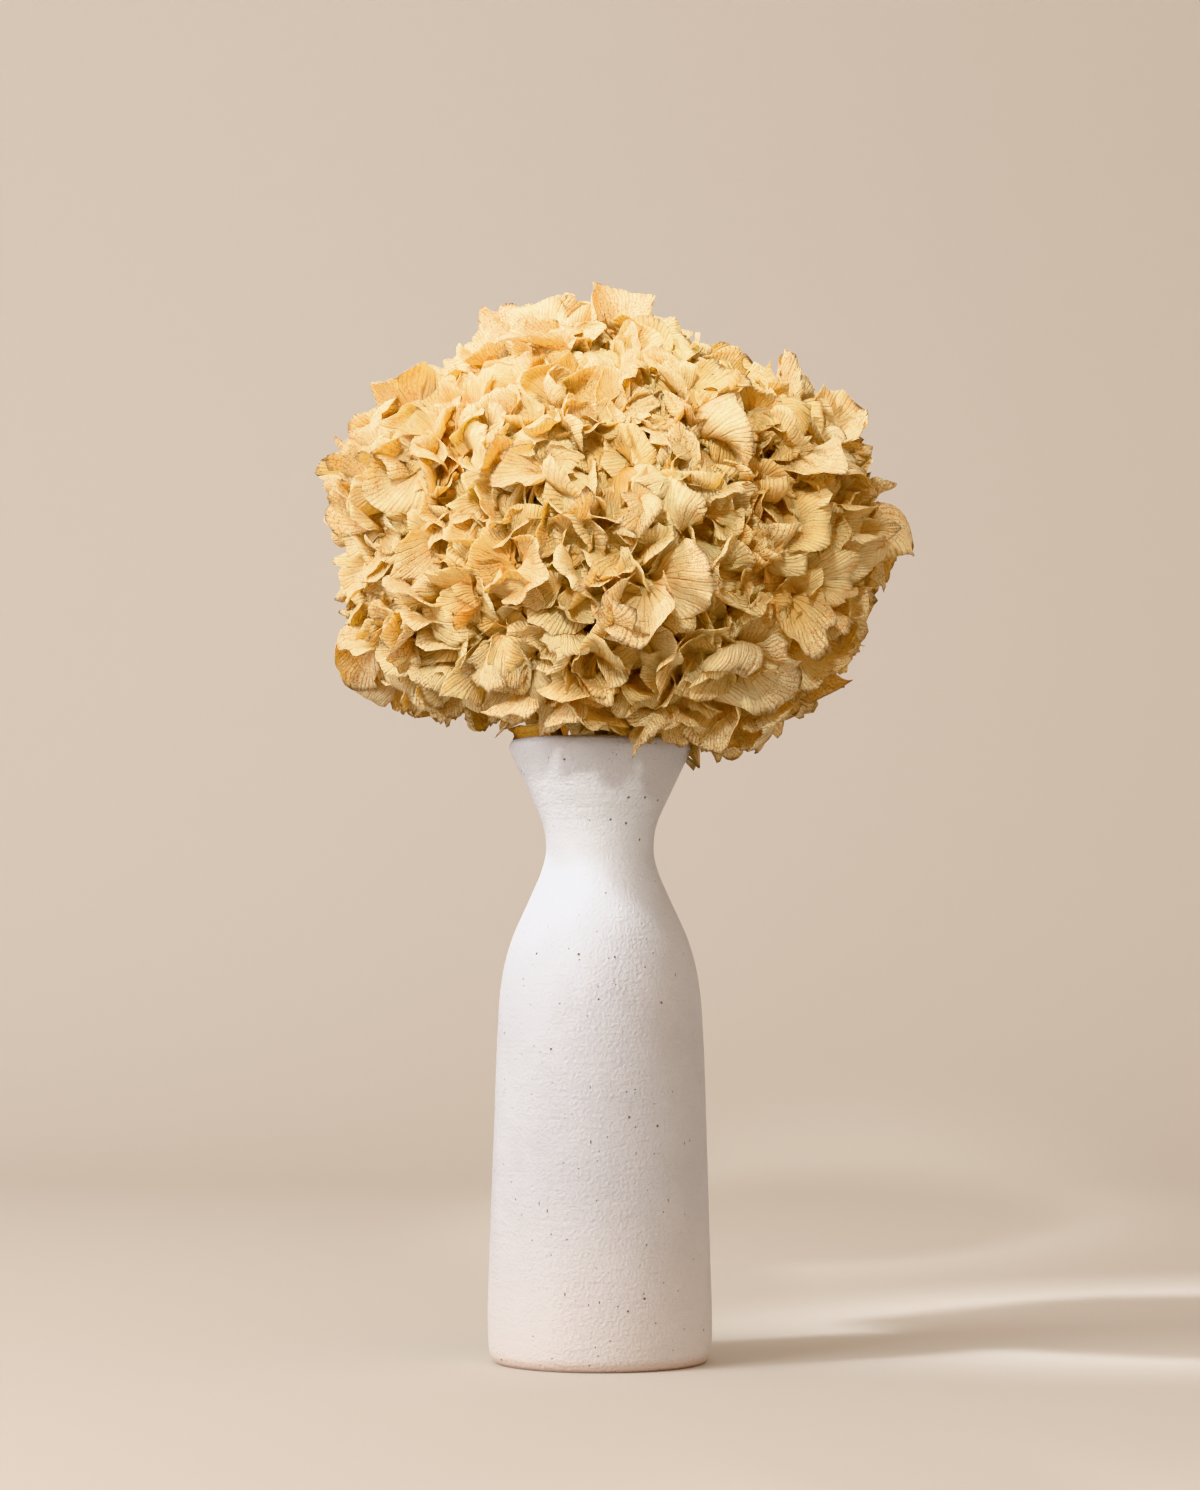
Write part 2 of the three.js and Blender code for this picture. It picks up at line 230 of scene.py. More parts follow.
def spline_through(points, steps):
    """Points on a smooth curve through the given ones, evenly shared among its spans."""
    points = [Vector(p) for p in points]
    ends = [points[0] * 2 - points[1], *points, points[-1] * 2 - points[-2]]
    made = []
    spans = len(points) - 1
    for i in range(steps + 1):
        at = min(i / steps * spans, spans - 1e-6)
        k = int(at)
        t = at - k
        a, b, c, d = ends[k : k + 4]
        square = 2 * a - 5 * b + 4 * c - d
        made.append(0.5 * ((2 * b) + (c - a) * t + square * t * t + (3 * b - a - 3 * c + d) * t**3))
    return made


# -------- where things sit


def dome_reach(ways):
    """How far the mass of petals reaches from the dome's middle along each row of x, y and z."""
    x, y, z = np.asarray(ways).T
    level = np.hypot(x / DOME_ACROSS, y / DOME_DEEP)
    upright = np.abs(z) / np.where(z > 0, DOME_UP, DOME_DOWN)
    power = np.where(z > 0, ROUND_ABOVE, BOXY_BELOW)
    swell = np.interp(np.degrees(np.arctan2(z, x)), list(SWELL), list(SWELL.values()), period=360)
    return (level**power + upright**power) ** (-1 / power) + swell * (1 - y * y)


def head_at(point):
    return min(HEADS, key=lambda name: (HEADS[name]["centre"] - point).length)


def nearest_seam(name, point):
    """The way to the nearest neighbouring head, and how far the point lies from the plane between them."""
    centre = HEADS[name]["centre"]
    seams = []
    for other, head in HEADS.items():
        if other != name:
            normal = (head["centre"] - centre).normalized()
            seams.append((normal, normal.dot((head["centre"] + centre) / 2 - point)))
    return min(seams, key=lambda seam: seam[1])


def even_directions(count):
    """Ways that are spread evenly over a sphere, on a spiral from the top to the bottom."""
    golden = math.pi * (3 - math.sqrt(5))
    for i in range(count):
        z = 1 - (2 * i + 1) / count
        r = math.sqrt(1 - z * z)
        yield Vector((r * math.cos(i * golden), r * math.sin(i * golden), z))


def floret_sites():
    """Where each floret's middle sits, the way it faces, its head and its size, layer by layer."""
    chance = random.Random(SEED)
    sites = []

    def add_site(name, seat, facing, size, grade):
        sway = Vector([chance.gauss(0, SWAY) for _ in range(3)])
        sites.append(
            {
                "head": name,
                "seat": seat,
                "facing": (facing + sway).normalized(),
                "spin": chance.uniform(0, 2 * math.pi),
                "size": size * chance.uniform(*FLORET_SIZES),
                "kind": chance.randrange(grade["kinds"]) + (0 if grade is FINE else FINE["kinds"]),
                "tone": chance.random(),
                "grade": grade,
            }
        )

    directions = list(even_directions(TRIED_WAYS))
    reaches = [float(reach) for reach in dome_reach(directions)]
    for floret in DROOPING:
        add_site(head_at(floret["middle"]), floret["middle"], floret["axis"], DROOPING_SIZE, FINE)
    for layer in LAYERS:
        placed = [floret["middle"] for floret in DROOPING]
        for direction, reach in zip(directions, reaches):
            outer = DOME_CENTRE + direction * (reach - layer["depth"])
            name = head_at(outer)
            normal, gap = nearest_seam(name, outer)
            nearness = math.exp(-((gap / GROOVE_WIDTH) ** 2))
            seat = outer - direction * (GROOVE_DEPTH * nearness)
            under = seat.z < DOME_CENTRE.z - OPEN_BELOW and math.hypot(seat.x, seat.y) < OPEN_REACH
            if under or gap < SEAM_CLEAR:
                continue
            if any((other - seat).length < layer["spacing"] for other in placed):
                continue
            placed.append(seat)
            # A floret faces half-way between out of the dome and out of its head, and turns from a near seam.
            from_head = (seat - HEADS[name]["centre"]).normalized()
            facing = (direction + from_head) * 0.5 - normal * (0.5 * nearness)
            stand = chance.uniform(*STAND)
            if stand > BOLD_ABOVE:
                stand += BOLD_MORE
            add_site(name, seat + direction * stand, facing, layer["size"], layer["grade"])
    return sites


# -------- florets


def bent(flat, height, curvature):
    """A length and a height above it, rolled onto an arc of the given curvature without stretching."""
    if abs(curvature) < 1e-4:
        return flat, height
    angle = flat * curvature
    along = math.sin(angle) * (1 / curvature - height)
    return along, (1 - math.cos(angle)) / curvature + height * math.cos(angle)


def sepal(chance, turn, lean, length, grade):
    """The upper face of one sepal as rows of points, from its narrow base out to its ragged, wavy edge."""
    across, along = grade["across"], grade["along"]
    fan = math.radians(chance.uniform(42, 68))
    broad = chance.uniform(0.48, 0.84)
    round_off = chance.uniform(1.4, 3.0)
    lopsided = chance.uniform(-0.2, 0.2)
    # Points and notches of the edge: where each is, how far it stands out and how wide it is.
    teeth = [(lopsided, chance.choice([-0.12, 0.06, 0.13, 0.2, 0.26]), 0.19)]
    for _ in range(chance.choice([0, 1, 2, 3])):
        out = chance.choice([-1, 1, 1]) * chance.uniform(0.04, 0.14)
        teeth.append((chance.uniform(-0.95, 0.95), out, chance.uniform(0.1, 0.17)))
    scallops = chance.uniform(2.5, 6)
    scallop_depth = chance.uniform(0.01, 0.045)
    waves = chance.uniform(1.2, 3.4)
    wave_height = chance.uniform(0.03, 0.15) * length
    phase = chance.uniform(0, 2 * math.pi)
    fold = chance.choice([0, 0, 0, 0.25, 0.5])
    roll = chance.choice([-1.1, -0.5, 0, 0.5, 0.9, 1.5, 2.6]) * chance.uniform(0.7, 1.2) / length
    curl = chance.choice([-1.4, -0.7, -0.3, 0.2, 0.7, 1.5]) * chance.uniform(0.6, 1.2) / length
    lip = chance.gauss(0, 0.07) * length
    twist = chance.gauss(0, 0.4)
    ragged = chance.choice([0, 0.008, 0.016, 0.03])
    corners = [chance.gauss(0, ragged) for _ in range(across + 1)]
    rows = []
    for j in range(along + 1):
        v = 0.08 + 0.92 * (j / along) ** 0.9  # from the base, just clear of the bud, to 1 at the edge
        row = []
        for i in range(across + 1):
            u = 2 * i / across - 1  # from side to side
            angle = u * fan * (0.5 + 0.5 * min(1, v / 0.5))
            reach = 1 - (1 - broad) * abs(u) ** round_off
            reach += sum(out * v * math.exp(-(((u - where) / wide) ** 2)) for where, out, wide in teeth)
            reach += lopsided * u * 0.5 + scallop_depth * math.sin(scallops * math.pi * u + phase * 1.7) * v
            reach += corners[i] * v * v
            r = v * reach * length
            x = r * math.sin(angle)
            y = r * math.cos(angle)
            z = wave_height * math.sin(waves * math.pi * u * 0.5 + phase) * v**2
            z += 0.45 * wave_height * math.sin(waves * 4.3 * u - phase) * v**4
            z += lip * max(0, v - 0.7) ** 2 * 11
            z += fold * (math.hypot(x, 1) - 1) * v
            x, z = bent(x, z, roll * (1.15 - 0.3 * v))
            y, z = bent(y, z, -curl * (0.7 + 0.4 * v))
            around = twist * v * v
            x, z = x * math.cos(around) - z * math.sin(around), x * math.sin(around) + z * math.cos(around)
            y, z = y * math.cos(lean) - z * math.sin(lean), y * math.sin(lean) + z * math.cos(lean)
            row.append(Matrix.Rotation(turn, 3, "Z") @ Vector((x, y, z)))
        rows.append(row)
    return rows


def sheet_faces(base, across, along):
    """The faces of one thin closed sheet: its two sides, and then its cut edge."""
    width = across + 1
    half = width * (along + 1)
    sides = []
    for j in range(along):
        for i in range(across):
            a = base + j * width + i
            sides.append((a, a + 1, a + width + 1, a + width))
            sides.append((a + half, a + width + half, a + width + 1 + half, a + 1 + half))
    edge = (
        list(range(width))
        + [j * width + across for j in range(1, along + 1)]
        + [along * width + i for i in range(across - 1, -1, -1)]
        + [j * width for j in range(along - 1, 0, -1)]
    )
    cut = [(base + b, base + a, base + a + half, base + b + half) for a, b in zip(edge, edge[1:] + edge[:1])]
    return sides, cut


def bud(base):
    """A small round bud as a swollen cube: its points, its faces and the place of each corner on its map."""
    found, points, faces, places = {}, [], [], []
    for side in range(6):
        axis, sign = side % 3, 1 if side < 3 else -1
        for a in (-1, 0):
            for b in (-1, 0):
                ring = [(a, b), (a + 1, b), (a + 1, b + 1), (a, b + 1)][::sign]
                face = []
                for first, second in ring:
                    spot = [0, 0, 0]
                    spot[axis], spot[(axis + 1) % 3], spot[(axis + 2) % 3] = sign, first, second
                    if tuple(spot) not in found:
                        found[tuple(spot)] = base + len(points)
                        points.append(Vector(spot).normalized() * BUD_RADIUS + Vector((0, 0, BUD_HEIGHT)))
                    face.append(found[tuple(spot)])
                faces.append(tuple(face))
                places.append([((axis + (u + 1) / 2) / 3, ((sign > 0) + (v + 1) / 2) / 2) for u, v in ring])
    return points, faces, places


def floret_kind(number, shelf, grade):
    """One floret: a bud, and three to five overlapping sepals about it, each a thin closed sheet. Returns how
    many sides the floret has, counting the bud as one."""
    chance = random.Random(SEED * 1000 + number)
    across, along = grade["across"], grade["along"]
    count = chance.choice([4, 4, 4, 4, 5, 3])
    openness = chance.uniform(0.05, 0.95)
    width = across + 1
    vertices, faces, corner_places = bud(0)
    rims = [False] * len(faces)
    petal = [1.0] * len(vertices)
    side = [0] * len(vertices)
    for k in range(count):
        turn = 2 * math.pi * (k + chance.uniform(-0.14, 0.14)) / count
        lean = openness + chance.gauss(0, 0.3)
        rows = sepal(chance, turn, lean, SEPAL_LENGTH * chance.uniform(*SEPAL_LENGTHS), grade)
        lift = Vector((0, 0, SEPAL_OVERLAP * (k % 2)))
        grid = [point + lift for row in rows for point in row]
        under = []
        places = []
        for n, point in enumerate(grid):
            j, i = divmod(n, width)
            level = rows[j][min(i + 1, across)] - rows[j][max(i - 1, 0)]
            outward = rows[min(j + 1, along)][i] - rows[max(j - 1, 0)][i]
            under.append(point - level.cross(outward).normalized() * SEPAL_THICKNESS)
            places.append((i / across, j / along))
        base = len(vertices)
        sides, cut = sheet_faces(base, across, along)
        faces += sides + cut
        rims += [False] * len(sides) + [True] * len(cut)
        vertices += grid + under
        corner_places += [[places[(v - base) % len(grid)] for v in face] for face in sides + cut]
        petal += [chance.random()] * (2 * len(grid))
        side += [2 * k + 1] * len(grid) + [2 * k + 2] * len(grid)
    kind = mesh_object(f"floret_kind_{number:02d}", [v * MM for v in vertices], faces)
    mesh = kind.data
    # The cut edge is flat, so that it doesn't round the shading of the sheet's two sides.
    sharp = mesh.attributes.new("sharp_face", "BOOLEAN", "FACE")
    sharp.data.foreach_set("value", rims)
    uv = mesh.uv_layers.new(name="sepal")
    uv.data.foreach_set("uv", np.array(corner_places, float).ravel())
    for key, values in (("petal", petal), ("side", side)):
        layer = mesh.attributes.new(key, "FLOAT", "POINT")
        layer.data.foreach_set("value", values)
    bpy.context.scene.collection.objects.unlink(kind)
    shelf.objects.link(kind)
    return 2 * count + 1


def new_tree(name, sizes):
    """A tree of geometry nodes with a named input for each size, and the node that gives them."""
    tree = bpy.data.node_groups.new(name, "GeometryNodeTree")
    for key, kind in (("Geometry", "Geometry"), *sizes):
        tree.interface.new_socket(key, in_out="INPUT", socket_type="NodeSocket" + kind)
    tree.interface.new_socket("Geometry", in_out="OUTPUT", socket_type="NodeSocketGeometry")
    return tree, add_node(tree, "NodeGroupInput")


def floret_tree(shelf, material):
    """Geometry nodes that set a floret on each point and then crinkle all the petals of the head together."""
    tree, given = new_tree("petals of a head", (("Crinkle size", "Float"), ("Crinkle height", "Float")))
    read = {}
    for name, kind in (("facing", "FLOAT_VECTOR"), ("spin", "FLOAT"), ("size", "FLOAT"), ("kind", "INT")):
        named = add_node(tree, "GeometryNodeInputNamedAttribute", {"data_type": kind}, {"Name": name})
        read[name] = named.outputs["Attribute"]
    settings = {"transform_space": "ORIGINAL"}
    inputs = {"Collection": shelf, "Separate Children": True, "Reset Children": True}
    kinds = add_node(tree, "GeometryNodeCollectionInfo", settings, inputs)
    turned = add_node(tree, "FunctionNodeAlignRotationToVector", {"axis": "Z"}, {"Vector": read["facing"]})
    inputs = {"Axis": (0, 0, 1), "Angle": read["spin"]}
    about = add_node(tree, "FunctionNodeAxisAngleToRotation", {}, inputs)
    inputs = {"Rotation": turned.outputs[0], "Rotate By": about.outputs[0]}
    turned = add_node(tree, "FunctionNodeRotateRotation", {"rotation_space": "LOCAL"}, inputs)
    inputs = {
        "Points": given.outputs["Geometry"],
        "Instance": kinds.outputs[0],
        "Pick Instance": True,
        "Instance Index": read["kind"],
        "Rotation": turned.outputs[0],
        "Scale": read["size"],
    }
    placed = add_node(tree, "GeometryNodeInstanceOnPoints", {}, inputs)
    real = add_node(tree, "GeometryNodeRealizeInstances", {}, {"Geometry": placed.outputs[0]})
    where = add_node(tree, "GeometryNodeInputPosition")
    inputs = {0: 1.0, 1: given.outputs["Crinkle size"]}
    scale = add_node(tree, "ShaderNodeMath", {"operation": "DIVIDE"}, inputs)
    inputs = {"Vector": where.outputs[0], "Scale": scale.outputs[0], "Detail": 2.5, "Roughness": 0.55}
    noise = add_node(tree, "ShaderNodeTexNoise", {}, inputs)
    inputs = {0: noise.outputs["Color"], 1: (0.5, 0.5, 0.5)}
    centred = add_node(tree, "ShaderNodeVectorMath", {"operation": "SUBTRACT"}, inputs)
    inputs = {0: centred.outputs[0], "Scale": given.outputs["Crinkle height"]}
    push = add_node(tree, "ShaderNodeVectorMath", {"operation": "SCALE"}, inputs)
    inputs = {"Geometry": real.outputs[0], "Offset": push.outputs[0]}
    moved = add_node(tree, "GeometryNodeSetPosition", {}, inputs)
    inputs = {"Geometry": moved.outputs[0], "Material": material}
    painted = add_node(tree, "GeometryNodeSetMaterial", {}, inputs)
    add_node(tree, "NodeGroupOutput", {}, {"Geometry": painted.outputs[0]})
    return tree


def baked(piece, tree, inputs, name):
    """The plain mesh that a piece's geometry nodes make, as a new piece."""
    modifier = piece.modifiers.new("build", "NODES")
    modifier.node_group = tree
    for item in tree.interface.items_tree:
        if item.item_type == "SOCKET" and item.in_out == "INPUT" and item.name in inputs:
            modifier[item.identifier] = inputs[item.name]
    shown = piece.evaluated_get(bpy.context.evaluated_depsgraph_get())
    mesh = bpy.data.meshes.new_from_object(shown)
    mesh.name = name
    piece.modifiers.clear()
    bpy.data.objects.remove(piece)
    return in_scene(name, mesh)


def below_dome(points):
    """How far each point lies below the dome, in millimetres."""
    ray = points - np.array(DOME_CENTRE)
    far = np.linalg.norm(ray, axis=1)
    return dome_reach(ray / far[:, None]) - far


def tuck_in(points):
    """Petals that would stand far out of the dome are bent back towards it."""
    ray = points - np.array(DOME_CENTRE)
    far = np.linalg.norm(ray, axis=1)
    excess = np.maximum(-below_dome(points) - PROUD, 0)
    return np.array(DOME_CENTRE) + ray * (1 - BENT_BACK * excess / far)[:, None]


def settle_on_rim(points):
    """Petals that would reach into the vase's mouth lie on its rim instead, or hang just outside it."""
    reach = np.hypot(points[:, 0], points[:, 1])
    low = VASE_HEIGHT + RIM_GAP - points[:, 2]
    inside = RIM_REACH - reach
    caught = (low > 0) & (inside > 0)
    lift = np.where(caught & (low <= inside), low, 0)
    push = np.where(caught & (low > inside), inside, 0)
    points[:, 2] += lift * RIM_LIFT
    points[:, :2] *= (1 + push / np.maximum(reach, 1))[:, None]
    return points


def point_values(mesh, key):
    values = np.empty(len(mesh.vertices), np.float32)
    mesh.attributes[key].data.foreach_get("value", values)
    return values


def lay_out_sides(mesh):
    """A second UV map, in which each side of each petal has a square of its own and nothing overlaps."""
    corner = np.empty(len(mesh.loops), np.int32)
    mesh.loops.foreach_get("vertex_index", corner)
    corner = corner.reshape(-1, 4)
    square = np.rint(point_values(mesh, "square") + point_values(mesh, "side")).astype(int)[corner]
    first = square.min(axis=1, keepdims=True)
    place = np.empty(len(mesh.loops) * 2, np.float32)
    mesh.uv_layers["sepal"].data.foreach_get("uv", place)
    place = place.reshape(-1, 4, 2)
    # A cut edge lies round the square of the sheet's upper side.
    beyond = np.where(square != first, EDGE_BEYOND, 1.0)[..., None]
    place = 0.5 + (place - 0.5) * beyond * SQUARE_FILL
    columns = math.ceil(math.sqrt(square.max() + 1))
    place += np.stack([first % columns, first // columns], axis=-1)
    flat = mesh.uv_layers.new(name="OFBake", do_init=False)
    flat.data.foreach_set("uv", (place / columns).astype(np.float32).ravel())
    mesh.uv_layers["sepal"].active_render = True


def head_petals(name, sites, grade, tree, side_counts):
    """The florets of one grade on one head, in one piece."""
    own = [site for site in sites if site["head"] == name and site["grade"] is grade]
    squares = 0
    for site in own:
        site["square"] = squares
        squares += side_counts[site["kind"]]
    points = mesh_object(f"sites_{name}", [site["seat"] * MM for site in own], [])
    kinds = {"spin": "FLOAT", "size": "FLOAT", "tone": "FLOAT", "square": "FLOAT", "kind": "INT"}
    for key, kind in kinds.items():
        layer = points.data.attributes.new(key, kind, "POINT")
        layer.data.foreach_set("value", [site[key] for site in own])
    facing = points.data.attributes.new("facing", "FLOAT_VECTOR", "POINT")
    facing.data.foreach_set("vector", [c for site in own for c in site["facing"]])
    inputs = {"Crinkle size": CRINKLE_SIZE * MM, "Crinkle height": CRINKLE_HEIGHT * MM}
    piece = baked(points, tree, inputs, f"{grade['name']}_petals_{name}")
    mesh = piece.data
    flat = np.empty(len(mesh.vertices) * 3)
    mesh.vertices.foreach_get("co", flat)
    places = settle_on_rim(tuck_in(flat.reshape(-1, 3) / MM))
    mesh.vertices.foreach_set("co", (places * MM).ravel())
    # The shade depth that the petals' colour is painted from: how deep in the mass a point lies, plus more
    # the further it is turned from the key light, so a painted shade. Outlying goes from 0 at 2 mm in to 1 at
    # 3 mm out of it.
    below = below_dome(places)
    outward = places - np.array(DOME_CENTRE)
    outward /= np.linalg.norm(outward, axis=1)[:, None]
    for key, values in (
        ("inward", below + SHADE_AWAY_FROM_LIGHT * (1 - outward @ np.array(KEY_LIGHT_WAY))),
        ("outlying", np.clip((2 - below) / 5, 0, 1)),
    ):
        mesh.attributes.new(key, "FLOAT", "POINT").data.foreach_set("value", values.astype(np.float32))
    lay_out_sides(mesh)
    for key in ("square", "side", "facing", "spin", "size", "kind"):
        mesh.attributes.remove(mesh.attributes[key])
    mesh.update()
    return piece


# -------- stems and twigs


def limb_tree(material):
    """Geometry nodes that turn curves with a radius at each point into closed round limbs."""
    tree, given = new_tree("limbs", (("Sides", "Int"),))
    inputs = {"Resolution": given.outputs["Sides"], "Radius": 1.0}
    ring = add_node(tree, "GeometryNodeCurvePrimitiveCircle", {}, inputs)
    radius = add_node(tree, "GeometryNodeInputRadius")
    inputs = {
        "Curve": given.outputs["Geometry"],
        "Profile Curve": ring.outputs[0],
        "Scale": radius.outputs[0],
        "Fill Caps": True,
    }
    limb = add_node(tree, "GeometryNodeCurveToMesh", {}, inputs)
    smooth = add_node(tree, "GeometryNodeSetShadeSmooth", {}, {"Geometry": limb.outputs[0]})
    inputs = {"Geometry": smooth.outputs[0], "Material": material}
    painted = add_node(tree, "GeometryNodeSetMaterial", {}, inputs)
    add_node(tree, "NodeGroupOutput", {}, {"Geometry": painted.outputs[0]})
    return tree


def limb_piece(name, limbs, tree, sides):
    """A piece of round limbs, each given as its points in millimetres and the radius at each."""
    curve = bpy.data.curves.new(name, "CURVE")
    curve.dimensions = "3D"
    for points, radii in limbs:
        line = curve.splines.new("POLY")
        line.points.add(len(points) - 1)
        for point, place, radius in zip(line.points, points, radii):
            point.co = (*(place * MM), 1)
            point.radius = radius * MM
    raw = in_scene(name + "_line", curve)
    return baked(raw, tree, {"Sides": sides}, name)


def stem_path(head):
    """A stem's way from the vase's floor through the neck to the node where it divides."""
    way = math.radians(head["way"])
    out = Vector((math.cos(way), math.sin(way), 0))
    path = [out * (head["lean"] * share) + Vector((0, 0, z)) for share, z in STEM_PLACES]
    rise = (head["centre"] - path[-1]).normalized()
    fork = head["centre"] - rise * STEM_TOP
    return [*path, head["centre"] - rise * STEM_STRAIGHT, fork], fork


def head_limbs(name, head, sites, chance):
    """The stem, the rays that leave its fork, and a fine stalk from the nearest ray to each floret."""
    path, fork = stem_path(head)
    line = spline_through(path, STEM_STEPS)
    line = [p + Vector((chance.gauss(0, STEM_WOBBLE), chance.gauss(0, STEM_WOBBLE), 0)) for p in line]
    # It thins a little from its foot to its fork.
    stem = [(line, [STEM_RADIUS * (1.08 - 0.28 * i / STEM_STEPS) for i in range(STEM_STEPS + 1)])]
    own = [site for site in sites if site["head"] == name]
    # Rays leave the stem at its fork and at two places a little below it.
    starts = [head["centre"] - (head["centre"] - fork) * (1 + 0.22 * k) for k in range(3)]
    clusters = []
    for site in own:
        if all((site["seat"] - other).length > RAY_APART for other in clusters):
            clusters.append(site["seat"].copy())
    rays = []
    nodes = []
    for k, target in enumerate(clusters):
        start = starts[k % 3]
        end = fork.lerp(target, RAY_SHARE)
        middle = start.lerp(end, 0.5) + Vector((0, 0, -4)) + Vector([chance.gauss(0, 1.5) for _ in range(3)])
        points = spline_through([start, middle, end], RAY_STEPS)
        rays.append((points, [RAY_RADIUS - RAY_TAPER * i / RAY_STEPS for i in range(RAY_STEPS + 1)]))
        nodes.append(end)
    for site in own:
        start = min(nodes, key=lambda n: (n - site["seat"]).length)
        end = site["seat"] - site["facing"] * 0.4
        middle = start.lerp(end, 0.55) - site["facing"] * 3
        points = spline_through([start, middle, end], STALK_STEPS)
        radii = [STALK_RADIUS - STALK_TAPER * i / STALK_STEPS for i in range(STALK_STEPS + 1)]
        rays.append((points, radii))
    return stem, rays


# -------- vase


def vase_profile():
    """The outline from the foot's middle up the outside, over the lip and down the inside."""
    outer = spline_through([(r, 0, z) for r, z in VASE_OUTLINE], OUTLINE_STEPS)
    outer = [(p.x, p.z) for p in outer]
    inner = []
    for k in range(len(outer) - 1, 0, -1):
        (r0, z0), (r1, z1) = outer[k - 1], outer[k]
        length = math.hypot(r1 - r0, z1 - z0)
        r = (r0 + r1) / 2 - (z1 - z0) / length * VASE_WALL
        z = (z0 + z1) / 2 + (r1 - r0) / length * VASE_WALL
        if VASE_FLOOR + WELL_CORNER < z < VASE_HEIGHT - LIP_RADIUS:
            inner.append((r, z))
    lip_r, lip_z = outer[-1][0] - LIP_RADIUS, VASE_HEIGHT - LIP_RADIUS
    lip = []
    for k in range(1, LIP_STEPS):
        angle = math.pi * k / LIP_STEPS
        lip.append((lip_r + LIP_RADIUS * math.cos(angle), lip_z + LIP_RADIUS * math.sin(angle)))
    well, low = inner[-1]
    corner = [
        (well - WELL_CORNER * (1 - math.cos(a)), low - WELL_CORNER * math.sin(a)) for a in (0.4, 0.8, 1.2)
    ]
    flat = [(well - WELL_FLAT, VASE_FLOOR), (0.0, VASE_FLOOR)]
    return [(0.0, 0.0), (FOOT_RING, 0.0), *outer, *lip, *inner, *corner, *flat]


def make_vase():
    """A turned form of many fine facets, very slightly uneven as a hand-finished one is."""
    profile = vase_profile()
    vertices = []
    rings = []
    for r, z in profile:
        if r < 1e-6:
            rings.append([len(vertices)])
            vertices.append(Vector((0, 0, z)) * MM)
            continue
        ring = []
        for k in range(VASE_SIDES):
            angle = 2 * math.pi * k / VASE_SIDES
            # Out of round by 0.3 mm at most, and less towards the foot.
            uneven = 0.18 * math.sin(angle * 2 + z * 0.021) + 0.12 * math.sin(angle * 3 - z * 0.043)
            radius = r + uneven * min(1, z / 20)
            ring.append(len(vertices))
            vertices.append(Vector((radius * math.cos(angle), radius * math.sin(angle), z)) * MM)
        rings.append(ring)
    faces = []
    for low, high in zip(rings, rings[1:]):
        for k in range(VASE_SIDES):
            n = (k + 1) % VASE_SIDES
            if len(low) == 1:
                faces.append((low[0], high[n], high[k]))
            elif len(high) == 1:
                faces.append((low[k], low[n], high[0]))
            else:
                faces.append((low[k], low[n], high[n], high[k]))
    return mesh_object("vase_body", vertices, faces)


# -------- materials


